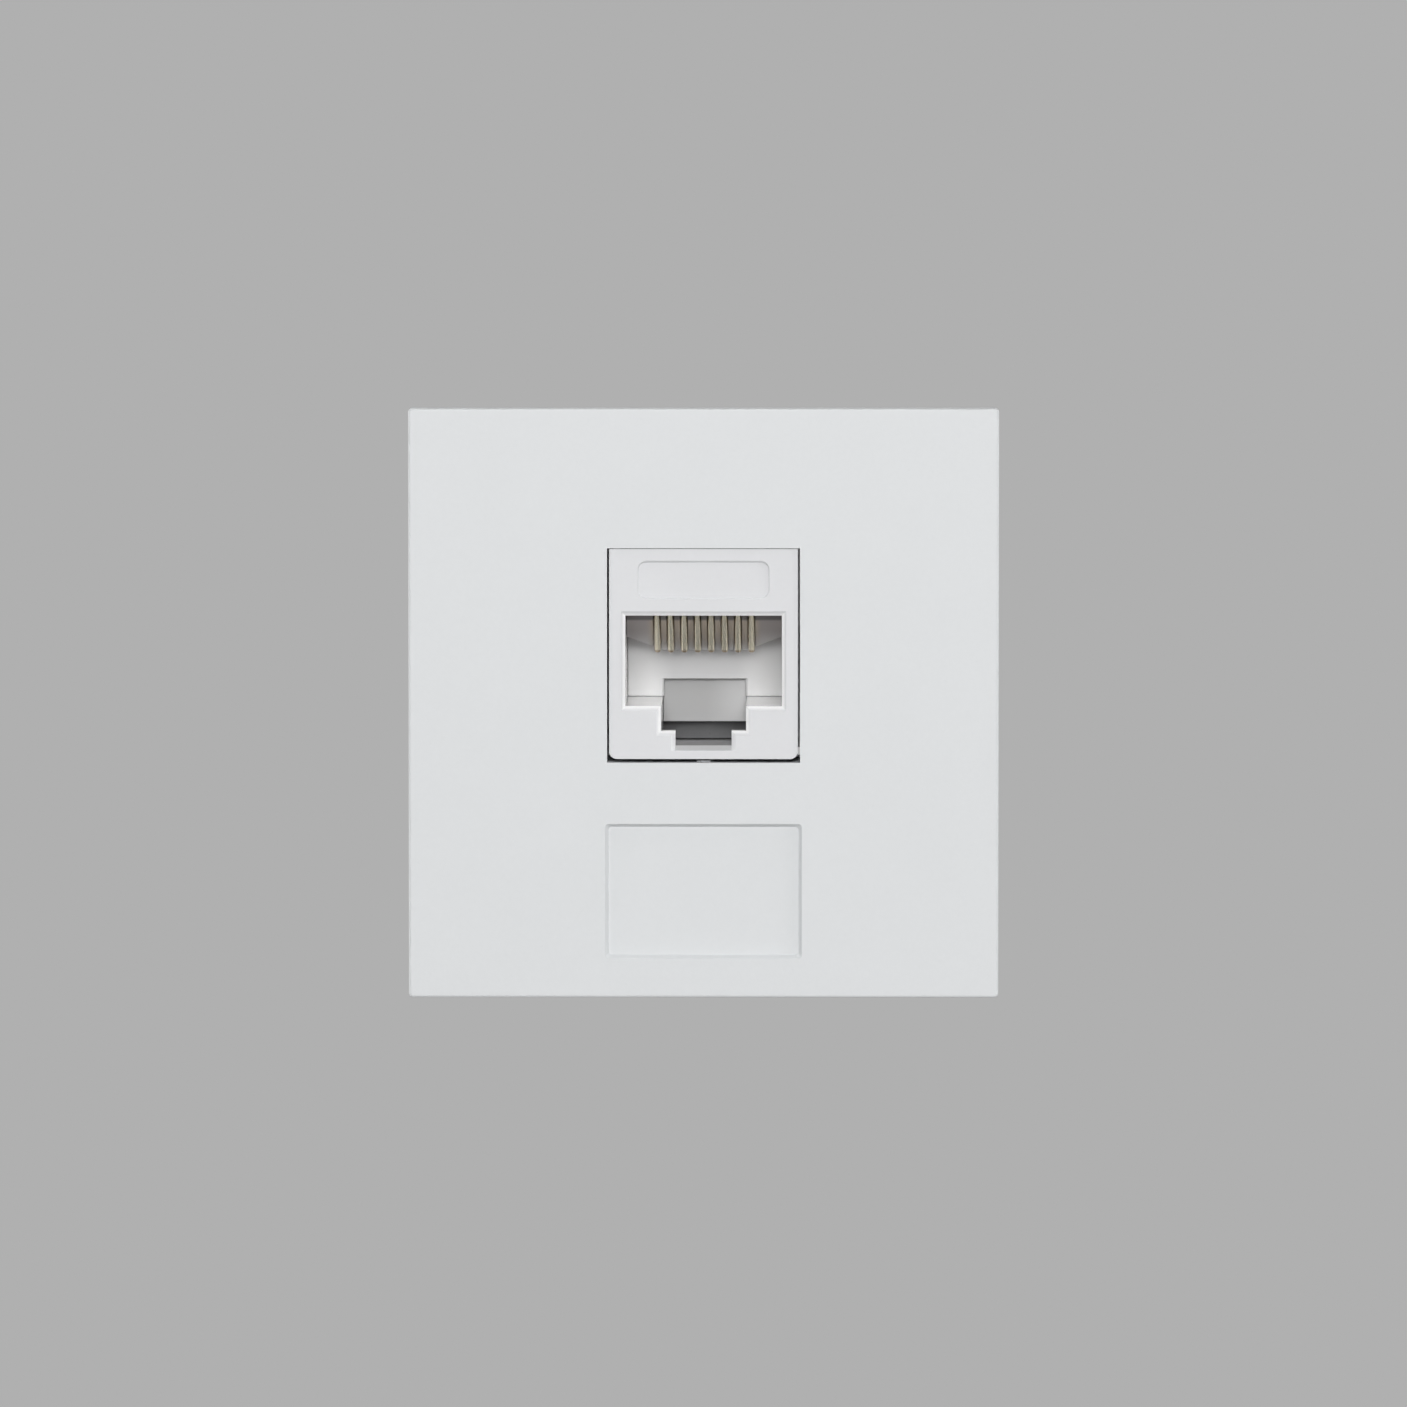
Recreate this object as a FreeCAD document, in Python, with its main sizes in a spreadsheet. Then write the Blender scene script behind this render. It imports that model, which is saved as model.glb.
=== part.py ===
import FreeCAD, Part
import math
import os
import types

import Sketcher

# Ethernet socket module: a square snap-in plate that carries a plug-in network jack.
# Millimetres. X runs to the right seen from the front, Y to the rear, Z up.
# The origin is the middle of the plate, on the seat where its rim meets the mounting frame.

SIZES = {
    # Plate: the square front and the skirt behind it
    "plate_side": 45.0,
    "plate_corner": 0.3,
    "plate_edge_round": 0.2,
    "rim_thickness": 2.2,
    "rim_width": 1.2,
    "panel_thickness": 1.9,
    "skirt_wall": 1.3,
    "skirt_depth": 8.0,
    # Snap arms cut free in the skirt's upper and lower walls
    "arm_pitch": 26.0,
    "arm_width": 8.0,
    "arm_slot": 1.0,
    "arm_root": 0.8,
    "barb_height": 0.9,
    "barb_catch": 2.5,
    "barb_flat": 0.7,
    "barb_length": 4.0,
    # Jack bay: the opening in the plate and the walls that hold the jack
    "bay_rise": 3.65,
    "bay_wall": 1.4,
    "bay_depth": 7.8,
    "bay_brow": 1.8,
    "bay_sill": 4.0,
    "catch_depth": 2.0,
    "latch_room": 3.5,
    "ledge_gap": 0.7,
    "hook_room": 2.2,
    "lead_in": 0.5,
    "pip_width": 1.06,
    "pip_height": 0.12,
    "pip_setback": 1.1,
    "pip_length": 2.0,
    "rib_thickness": 1.0,
    "rib_height": 3.0,
    "rib_pitch": 10.0,
    # Bare recess low on the plate
    "recess_width": 15.0,
    "recess_height": 10.3,
    "recess_drop": 14.36,
    "recess_depth": 0.55,
    "recess_slope": 0.25,
    "recess_corner": 0.3,
    # Jack housing
    "jack_width": 14.4,
    "jack_height": 16.05,
    "jack_depth": 15.0,
    "jack_setback": 0.2,
    "jack_side_gap": 0.16,
    "jack_bottom_gap": 0.28,
    "jack_top_gap": 0.05,
    "jack_corner": 0.6,
    "face_depth": 3.0,
    "body_drop": 2.35,
    "badge_width": 9.9,
    "badge_height": 2.75,
    "badge_drop": 2.37,
    "badge_depth": 0.25,
    "badge_slope": 0.1,
    "badge_corner": 0.6,
    # Plug port in the jack's face
    "port_width": 11.94,
    "port_height": 6.92,
    "port_drop": 5.11,
    "port_chamfer": 0.34,
    "port_wall": 1.5,
    "port_lip": 2.5,
    "channel_width": 6.48,
    "channel_drop": 1.89,
    "notch_width": 4.28,
    "notch_drop": 1.48,
    "sill_rise": 0.3,
    "channel_step": 0.12,
    "channel_run": 6.4,
    # Shoulders beside the latch, and rails that centre the jack in the bay
    "shoulder_width": 1.8,
    "shoulder_reach": 4.0,
    "rail_length": 2.0,
    "rail_gap": 0.03,
    # Latch arm above the jack and fixed hook below it
    "latch_width": 10.0,
    "latch_thickness": 1.2,
    "latch_inset": 0.2,
    "latch_rise": 2.45,
    "latch_crest": 0.6,
    "latch_tab_drop": 2.0,
    "latch_tab_thickness": 1.1,
    "latch_tab_reach": 5.4,
    "hook_width": 10.0,
    "hook_height": 1.9,
    "hook_chamfer": 0.4,
    "snap_gap": 0.2,
    # Contact carrier
    "roof_height": 1.71,
    "carrier_gap": 0.03,
    "carrier_front": 3.6,
    "comb_front_drop": 0.06,
    "comb_edge_gap": 2.1,
    "comb_edge_drop": 3.19,
    "comb_corner_half": 3.3,
    "comb_corner_rise": 1.15,
    "back_wall": 1.9,
    "niche_width": 6.3,
    "niche_rise": 1.38,
    "niche_depth": 0.8,
    "niche_bevel": 0.15,
    "tongue_drop": 1.98,
    # Contact wires
    "wire_size": 0.5,
    "wire_bevel": 0.13,
    "wire_pitch": 1.035,
    "wire_slot": 0.6,
    "wire_bend": 0.55,
    "wire_bend_depth": 4.66,
    "wire_run_rise": 1.06,
    "wire_tip_gap": 2.6,
    "wire_tip_drop": 3.19,
    "wire_tip_bevel": 0.12,
    "comb_floor": 0.45,
    "comb_slot_gap": 1.5,
    # Circuit board
    "board_thickness": 1.2,
    "board_corner": 0.5,
    "board_gap": 0.1,
    "tail_length": 0.4,
    "tail_clearance": 0.6,
    "contact_hole": 0.62,
    "terminal_hole": 0.86,
    # Wiring block behind the board
    "block_wall": 0.5,
    "block_base": 3.0,
    "block_corner": 0.6,
    "tail_room": 0.8,
    "tower_height": 7.0,
    "tower_point": 1.8,
    "tower_tip": 0.5,
    "tower_length": 4.6,
    "slot_pitch": 3.0,
    "slot_gap": 1.3,
    "row_gap": 0.5,
    "clip_thickness": 0.9,
    "clip_gap": 0.1,
    "clip_height": 4.8,
    "clip_clear": 0.9,
    "clip_bar": 0.7,
    "clip_window": 1.9,
    "lug_height": 3.2,
    "lug_depth": 0.7,
    "lug_flat": 0.3,
    # Forked terminals
    "blade_width": 2.4,
    "blade_thickness": 0.5,
    "blade_height": 4.8,
    "blade_gap": 0.05,
    "blade_shoulder": 0.3,
    "fork_slit": 0.32,
    "fork_depth": 3.6,
    "fork_mouth": 1.1,
    "fork_lead": 1.1,
    "tail_width": 0.5,
    # Wire caps
    "cap_wall": 0.8,
    "cap_gap": 0.15,
    "cap_top": 1.0,
    "cap_skirt": 5.3,
    "cap_round": 0.45,
    "cap_notch": 1.4,
    "cap_notch_height": 2.4,
    "rammer_width": 0.9,
    "rammer_height": 3.6,
    "rammer_gap": 0.6,
}

CONTACTS = 8
SLOTS_PER_ROW = 4
TOUCH = 1e-4


class Size:
    """A length together with the sheet formula that gives it."""

    def __init__(self, value, formula):
        self.value = value
        self.formula = formula

    def __add__(self, other):
        other = as_size(other)
        return Size(self.value + other.value, f"({self.formula} + {other.formula})")

    __radd__ = __add__

    def __sub__(self, other):
        other = as_size(other)
        return Size(self.value - other.value, f"({self.formula} - {other.formula})")

    def __rsub__(self, other):
        return as_size(other) - self

    def __mul__(self, factor):
        return Size(self.value * factor, f"({self.formula} * {factor})")

    __rmul__ = __mul__

    def __truediv__(self, divisor):
        return Size(self.value / divisor, f"({self.formula} / {divisor})")

    def __neg__(self):
        return Size(-self.value, f"(0 - {self.formula})")


def as_size(length):
    """A bare number, such as the zero of a plane, as a length of its own."""
    return length if isinstance(length, Size) else Size(float(length), str(float(length)))


doc = FreeCAD.newDocument("ethernet_socket_module")
sheet = doc.addObject("Spreadsheet::Sheet", "Sizes")
for row, (size_name, number) in enumerate(SIZES.items(), start=1):
    sheet.set(f"A{row}", size_name)
    sheet.set(f"B{row}", str(number))
    sheet.setAlias(f"B{row}", size_name)
doc.recompute()

s = types.SimpleNamespace(**{name: Size(number, f"Sizes.{name}") for name, number in SIZES.items()})

# Depths along Y that several pieces share
plate_front = -s.rim_thickness
panel_back = plate_front + s.panel_thickness
jack_front = plate_front + s.jack_setback
jack_back = jack_front + s.jack_depth
face_back = jack_front + s.face_depth
carrier_back = jack_back - s.tail_clearance
carrier_wall = carrier_back - s.back_wall
bay_catch = s.bay_depth - s.catch_depth
clip_front = s.bay_depth + s.clip_clear
board_back = jack_back + s.board_thickness
base_back = board_back + s.block_base
tower_top = base_back + s.tower_height
blade_top = base_back + s.blade_height

# Heights along Z that several pieces share
skirt_half = s.plate_side / 2 - s.rim_width
bay_height = s.jack_height + s.jack_bottom_gap + s.jack_top_gap
bay_top = s.bay_rise + bay_height / 2
bay_bottom = s.bay_rise - bay_height / 2
jack_bottom = bay_bottom + s.jack_bottom_gap
jack_top = jack_bottom + s.jack_height
body_top = jack_top - s.body_drop
body_middle = (body_top + jack_bottom) / 2
port_top = jack_top - s.port_drop
port_floor = port_top - s.port_height
channel_floor = port_floor - s.channel_drop
notch_floor = channel_floor - s.notch_drop
roof = port_top + s.roof_height
wire_run = port_top + s.wire_run_rise
groove_floor = wire_run - s.wire_slot / 2
comb_edge = port_top - s.comb_edge_drop

# Half widths along X that several pieces share
jack_half = s.jack_width / 2
bay_half = jack_half + s.jack_side_gap
port_half = s.port_width / 2
channel_half = s.channel_width / 2
row_half = s.slot_pitch * SLOTS_PER_ROW / 2 + (s.slot_pitch - s.slot_gap) / 2


def contact_places():
    """The eight contact wires' middles across the port."""
    return [s.wire_pitch * (index - (CONTACTS - 1) / 2) for index in range(CONTACTS)]


def slot_places():
    """The middles of one row's wire slots."""
    return [s.slot_pitch * (index - (SLOTS_PER_ROW - 1) / 2) for index in range(SLOTS_PER_ROW)]


def row_places():
    """The middles of the upper and the lower row of towers, clear of each other's caps."""
    half_pitch = s.tower_length / 2 + s.cap_gap + s.cap_wall + s.row_gap / 2
    return [body_middle + half_pitch, body_middle - half_pitch]


def new_body(label):
    body = doc.addObject("PartDesign::Body", label)
    body.Label = label
    return body


def bind(thing, path, length):
    thing.setExpression(path, as_size(length).formula)


def sketch_on(body, name, role, offset):
    """A sketch on one of the body's own origin planes, moved along the plane's normal."""
    sketch = body.newObject("Sketcher::SketchObject", name)
    plane = next(feature for feature in body.Origin.OriginFeatures if feature.Role == role)
    sketch.AttachmentSupport = [(plane, "")]
    sketch.MapMode = "FlatFace"
    bind(sketch, "AttachmentOffset.Base.z", offset)
    return sketch


def front_sketch(body, name, depth):
    """Drawn in X and Z, as seen from the front, at a depth along Y."""
    return sketch_on(body, name, "XZ_Plane", -as_size(depth))


def side_sketch(body, name, across=0):
    """Drawn in Y and Z, as seen from the right, at a place along X."""
    return sketch_on(body, name, "YZ_Plane", across)


def plan_sketch(body, name, height=0):
    """Drawn in X and Y, as seen from above, at a height along Z."""
    return sketch_on(body, name, "XY_Plane", height)


def fix_point(sketch, geometry, position, point):
    for kind, length in zip(("DistanceX", "DistanceY"), point):
        length = as_size(length)
        index = sketch.addConstraint(
            Sketcher.Constraint(kind, -1, 1, geometry, position, length.value)
        )
        sketch.setExpression(f"Constraints[{index}]", length.formula)


def vector(point):
    return FreeCAD.Vector(as_size(point[0]).value, as_size(point[1]).value, 0)


def outline(sketch, points):
    """A closed outline of straight lines with every corner tied to the sheet."""
    first = sketch.GeometryCount
    count = len(points)
    for index in range(count):
        line = Part.LineSegment(vector(points[index]), vector(points[(index + 1) % count]))
        sketch.addGeometry(line)
    for index in range(count):
        following = first + (index + 1) % count
        sketch.addConstraint(Sketcher.Constraint("Coincident", first + index, 2, following, 1))
    for index, point in enumerate(points):
        fix_point(sketch, first + index, 1, point)


def rectangle(sketch, left, right, bottom, top):
    outline(sketch, [(left, bottom), (right, bottom), (right, top), (left, top)])


def circle(sketch, centre, diameter):
    radius = as_size(diameter) / 2
    ring = Part.Circle(vector(centre), FreeCAD.Vector(0, 0, 1), radius.value)
    geometry = sketch.addGeometry(ring)
    fix_point(sketch, geometry, 3, centre)
    index = sketch.addConstraint(Sketcher.Constraint("Radius", geometry, radius.value))
    sketch.setExpression(f"Constraints[{index}]", radius.formula)


def extrude(kind, body, sketch, length, reverse, symmetric):
    before = 0.0 if body.Tip is None else body.Shape.Volume
    feature = body.newObject(kind, sketch.Name + "_solid")
    feature.Profile = sketch
    feature.Reversed = reverse
    feature.SideType = "Symmetric" if symmetric else "One side"
    bind(feature, "Length", length)
    doc.recompute()
    if abs(body.Shape.Volume - before) < TOUCH:
        raise RuntimeError(f"{feature.Label} changes nothing")
    return feature


def add(body, sketch, length, reverse=False, symmetric=False):
    return extrude("PartDesign::Pad", body, sketch, length, reverse, symmetric)


def cut(body, sketch, length, reverse=False, symmetric=False):
    return extrude("PartDesign::Pocket", body, sketch, length, reverse, symmetric)


def dress(kind, path, body, name, size, wanted):
    """Rounds or bevels the edges of the body so far that pass the test."""
    base = body.Tip
    names = [f"Edge{n}" for n, edge in enumerate(base.Shape.Edges, start=1) if wanted(edge.BoundBox)]
    if not names:
        raise RuntimeError(f"{name} finds no edges")
    feature = body.newObject(kind, name)
    feature.Base = (base, names)
    bind(feature, path, size)
    doc.recompute()
    return feature


def round_edges(body, name, size, wanted):
    return dress("PartDesign::Fillet", "Radius", body, name, size, wanted)


def bevel_edges(body, name, size, wanted):
    return dress("PartDesign::Chamfer", "Size", body, name, size, wanted)


def same(first, second):
    return abs(first - as_size(second).value) < TOUCH


def runs_along_y(box):
    return box.XLength < TOUCH and box.ZLength < TOUCH


def lies_at_depth(box, depth):
    return same(box.YMin, depth) and same(box.YMax, depth)


def mirrored(value, sign):
    """A length on the plus or the minus side."""
    return value if sign > 0 else -value


def plate_blank(body):
    """The square plate with rounded corners and front edge, hollowed a little behind."""
    half = s.plate_side / 2
    face = front_sketch(body, "plate_face", plate_front)
    rectangle(face, -half, half, -half, half)
    add(body, face, s.rim_thickness, reverse=True)
    round_edges(body, "plate_corners", s.plate_corner, runs_along_y)
    round_edges(body, "plate_front_edge", s.plate_edge_round, lambda box: lies_at_depth(box, plate_front))
    inner = skirt_half - s.skirt_wall
    skirt = front_sketch(body, "skirt", 0)
    rectangle(skirt, -skirt_half, skirt_half, -skirt_half, skirt_half)
    rectangle(skirt, -inner, inner, -inner, inner)
    add(body, skirt, s.skirt_depth, reverse=True)
    relief = front_sketch(body, "panel_relief", panel_back)
    rectangle(relief, -inner, inner, -inner, inner)
    cut(body, relief, s.rim_thickness - s.panel_thickness)


def snap_arms(body):
    """Two sprung arms in the upper wall of the skirt and two in the lower, each with a barb."""
    slots = front_sketch(body, "arm_slots", s.arm_root)
    sides = [(across, height) for across in (1, -1) for height in (1, -1)]
    for across, height in sides:
        middle = mirrored(s.arm_pitch / 2, across)
        inside = mirrored(skirt_half - s.skirt_wall - s.arm_slot, height)
        outside = mirrored(skirt_half + s.barb_height, height)
        for edge in (1, -1):
            near = middle + mirrored(s.arm_width / 2, edge)
            rectangle(slots, near, near + mirrored(s.arm_slot, edge), inside, outside)
    cut(body, slots, s.skirt_depth)
    for number, (across, height) in enumerate(sides, start=1):
        barb = side_sketch(body, f"barb_{number}", mirrored(s.arm_pitch / 2, across))
        wall = mirrored(skirt_half, height)
        crest = mirrored(skirt_half + s.barb_height, height)
        outline(barb, [
            (s.barb_catch, wall),
            (s.barb_catch, crest),
            (s.barb_catch + s.barb_flat, crest),
            (s.barb_catch + s.barb_length, wall),
        ])
        add(body, barb, s.arm_width, symmetric=True)


def jack_bay(body):
    """The walls behind the opening: a ledge for the latch, a groove for the hook, a pip to centre on."""
    outer = bay_half + s.bay_wall
    ceiling = bay_top + s.latch_room
    ledge = bay_top + s.ledge_gap
    upper = side_sketch(body, "bay_upper_wall")
    outline(upper, [
        (panel_back, bay_top),
        (s.bay_brow, bay_top),
        (s.bay_brow, ceiling),
        (bay_catch, ceiling),
        (bay_catch, ledge),
        (s.bay_depth - s.lead_in, ledge),
        (s.bay_depth, ledge + s.lead_in),
        (s.bay_depth, ceiling + s.bay_wall),
        (panel_back, ceiling + s.bay_wall),
    ])
    add(body, upper, outer * 2, symmetric=True)
    floor = bay_bottom - s.hook_room
    lower = side_sketch(body, "bay_lower_wall")
    outline(lower, [
        (panel_back, bay_bottom),
        (s.bay_sill, bay_bottom),
        (s.bay_sill, floor),
        (bay_catch, floor),
        (bay_catch, bay_bottom),
        (s.bay_depth - s.lead_in, bay_bottom),
        (s.bay_depth, bay_bottom - s.lead_in),
        (s.bay_depth, floor - s.bay_wall),
        (panel_back, floor - s.bay_wall),
    ])
    add(body, lower, outer * 2, symmetric=True)
    cheeks = front_sketch(body, "bay_cheeks", panel_back)
    rectangle(cheeks, -outer, -bay_half, floor - s.bay_wall, ceiling + s.bay_wall)
    rectangle(cheeks, bay_half, outer, floor - s.bay_wall, ceiling + s.bay_wall)
    add(body, cheeks, s.bay_depth - panel_back, reverse=True)
    opening = front_sketch(body, "bay_opening", plate_front)
    rectangle(opening, -bay_half, bay_half, bay_bottom, bay_top)
    cut(body, opening, s.panel_thickness)
    pip = front_sketch(body, "sill_pip", plate_front + s.pip_setback)
    half = s.pip_width / 2
    rectangle(pip, -half, half, bay_bottom - s.pip_height, bay_bottom + s.pip_height)
    add(body, pip, s.pip_length, reverse=True)


def plate_ribs(body):
    """Low ribs that tie the bay's walls to the skirt."""
    inner = skirt_half - s.skirt_wall
    outer = bay_half + s.bay_wall
    low = bay_bottom - s.hook_room - s.bay_wall
    half = s.rib_thickness / 2
    ribs = front_sketch(body, "ribs", panel_back)
    rectangle(ribs, -inner, -outer, s.bay_rise - half, s.bay_rise + half)
    rectangle(ribs, outer, inner, s.bay_rise - half, s.bay_rise + half)
    for side in (1, -1):
        middle = mirrored(s.rib_pitch / 2, side)
        rectangle(ribs, middle - half, middle + half, -inner, low)
    add(body, ribs, s.rib_height, reverse=True)


def plate_recess(body):
    """The shallow bare field below the jack, with sloping walls."""
    mouth = front_sketch(body, "recess_mouth", plate_front)
    floor = front_sketch(body, "recess_floor", plate_front + s.recess_depth)
    for sketch, inset in ((mouth, as_size(0)), (floor, s.recess_slope)):
        half = s.recess_width / 2 - inset
        tall = s.recess_height / 2 - inset
        rectangle(sketch, -half, half, -s.recess_drop - tall, -s.recess_drop + tall)
    field = body.newObject("PartDesign::SubtractiveLoft", "recess_field")
    field.Profile = mouth
    field.Sections = [floor]
    field.Ruled = True
    doc.recompute()
    low = -s.recess_drop - s.recess_height / 2
    high = -s.recess_drop + s.recess_height / 2

    def corner(box):
        inside = box.ZMin > low.value - TOUCH and box.ZMax < high.value + TOUCH
        return inside and same(box.YMin, plate_front) and same(box.YMax, plate_front + s.recess_depth)

    round_edges(body, "recess_corners", s.recess_corner, corner)


def module_plate():
    body = new_body("module_plate")
    plate_blank(body)
    snap_arms(body)
    jack_bay(body)
    plate_ribs(body)
    plate_recess(body)
    return body


def jack_shell(body):
    """The face block and the longer, lower body behind it."""
    face = front_sketch(body, "jack_face", jack_front)
    rectangle(face, -jack_half, jack_half, jack_bottom, jack_top)
    add(body, face, s.face_depth, reverse=True)
    round_edges(
        body,
        "jack_lower_corners",
        s.jack_corner,
        lambda box: runs_along_y(box) and same(box.ZMin, jack_bottom),
    )
    rear = front_sketch(body, "jack_body", face_back)
    rectangle(rear, -jack_half, jack_half, jack_bottom, body_top)
    add(body, rear, s.jack_depth - s.face_depth, reverse=True)


def plug_port(body):
    """The stepped mouth for the plug, bevelled but for the notch's sill, and the room behind it."""
    notch_half = s.notch_width / 2
    right_half = [
        (port_half, port_top),
        (port_half, port_floor),
        (channel_half, port_floor),
        (channel_half, channel_floor),
        (notch_half, channel_floor),
        (notch_half, notch_floor),
    ]
    left_half = [(-across, height) for across, height in reversed(right_half)]
    mouth = front_sketch(body, "port_mouth", jack_front)
    outline(mouth, right_half + left_half)
    cut(body, mouth, s.port_wall)
    bevel_edges(
        body,
        "port_bevel",
        s.port_chamfer,
        lambda box: lies_at_depth(box, jack_front) and box.XMax < jack_half.value - TOUCH
        and box.XMin > -jack_half.value + TOUCH and box.ZMax > notch_floor.value + TOUCH
        and box.ZMax < jack_top.value - TOUCH,
    )
    wall_back = jack_front + s.port_wall
    sill = side_sketch(body, "notch_sill")
    outline(sill, [
        (jack_front, notch_floor),
        (wall_back, notch_floor),
        (wall_back, notch_floor + s.sill_rise),
    ])
    add(body, sill, s.notch_width, symmetric=True)
    room = front_sketch(body, "port_room", wall_back)
    rectangle(room, -port_half, port_half, port_floor, port_top)
    cut(body, room, jack_back - wall_back)
    loft_front = jack_front + s.port_lip
    loft = front_sketch(body, "carrier_room", loft_front)
    rectangle(loft, -port_half, port_half, port_top, roof)
    cut(body, loft, jack_back - loft_front)
    channel = front_sketch(body, "latch_channel", wall_back)
    rectangle(channel, -channel_half, channel_half, notch_floor, port_floor)
    cut(body, channel, jack_back - wall_back)
    step = front_sketch(body, "channel_step", jack_front + s.channel_run)
    rectangle(step, -channel_half, channel_half, notch_floor - s.channel_step, notch_floor)
    cut(body, step, s.jack_depth - s.channel_run)


def jack_shoulders(body):
    """Blocks beside the latch, and thin rails that centre the jack and close its side gaps."""
    top = jack_top - s.latch_inset
    shoulders = front_sketch(body, "shoulders", face_back)
    for side in (1, -1):
        outer = mirrored(jack_half, side)
        rectangle(shoulders, mirrored(jack_half - s.shoulder_width, side), outer, body_top, top)
    add(body, shoulders, s.shoulder_reach, reverse=True)
    rails = front_sketch(body, "rails", face_back + s.shoulder_reach - s.rail_length)
    for side in (1, -1):
        outer = mirrored(jack_half + s.jack_side_gap - s.rail_gap, side)
        rectangle(rails, mirrored(jack_half, side), outer, jack_bottom + s.jack_corner, top)
    add(body, rails, s.rail_length, reverse=True)


def tail_relief(body):
    """A shallow step in the rear rim that clears the lower terminals' tails."""
    lower_row = row_places()[1]
    half = slot_places()[-1] + s.terminal_hole
    relief = front_sketch(body, "tail_relief", jack_back - s.tail_clearance)
    rectangle(relief, -half, half, lower_row - s.terminal_hole, port_floor)
    cut(body, relief, s.tail_clearance)


def jack_latch(body):
    """The sprung arm above the body: it snaps behind the ledge and ends in a finger tab."""
    top = jack_top - s.latch_inset
    under = top - s.latch_thickness
    ramp_start = s.bay_brow + s.snap_gap
    stop = bay_catch - s.snap_gap
    crest = top + s.latch_rise
    tab_top = crest - s.latch_tab_drop
    tab_under = tab_top - s.latch_tab_thickness
    tab_end = stop + s.latch_tab_reach
    arm = side_sketch(body, "latch_arm")
    outline(arm, [
        (face_back, under),
        (ramp_start, under),
        (stop, tab_under),
        (tab_end, tab_under),
        (tab_end, tab_top),
        (stop, tab_top),
        (stop, crest),
        (stop - s.latch_crest, crest),
        (ramp_start, top),
        (face_back, top),
    ])
    add(body, arm, s.latch_width, symmetric=True)


def jack_hook(body):
    """The fixed rib under the jack that hooks into the groove of the bay."""
    front = s.bay_sill + s.snap_gap
    back = bay_catch - s.snap_gap
    low = jack_bottom - s.hook_height
    hook = side_sketch(body, "hook")
    outline(hook, [
        (front, jack_bottom),
        (front, low + s.hook_chamfer),
        (front + s.hook_chamfer, low),
        (back, low),
        (back, jack_bottom),
    ])
    add(body, hook, s.hook_width, symmetric=True)


def jack_lugs(body):
    """A wedge on each side that the wiring block's clips snap over."""
    window = clip_front + s.clip_bar
    front = window + s.clip_gap
    back = window + s.clip_window - s.clip_gap
    for name, side in (("right_lug", 1), ("left_lug", -1)):
        lug = plan_sketch(body, name, body_middle)
        near = mirrored(jack_half, side)
        far = mirrored(jack_half + s.lug_depth, side)
        outline(lug, [(near, front), (far, front), (far, front + s.lug_flat), (near, back)])
        add(body, lug, s.lug_height, symmetric=True)


def jack_badge(body):
    """The shallow bare field on the brow of the jack."""
    middle = jack_top - s.badge_drop
    half = s.badge_width / 2
    tall = s.badge_height / 2
    badge = front_sketch(body, "badge_field", jack_front)
    rectangle(badge, -half, half, middle - tall, middle + tall)
    cut(body, badge, s.badge_depth)
    round_edges(
        body,
        "badge_corners",
        s.badge_corner,
        lambda box: runs_along_y(box) and same(box.YMin, jack_front)
        and same(box.YMax, jack_front + s.badge_depth),
    )
    bevel_edges(
        body,
        "badge_slope",
        s.badge_slope,
        lambda box: lies_at_depth(box, jack_front) and box.ZMin > (middle - tall).value - TOUCH
        and box.ZMax < (middle + tall).value + TOUCH,
    )


def jack_housing():
    body = new_body("jack_housing")
    jack_shell(body)
    jack_shoulders(body)
    plug_port(body)
    tail_relief(body)
    jack_latch(body)
    jack_hook(body)
    jack_lugs(body)
    jack_badge(body)
    return body


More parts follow.
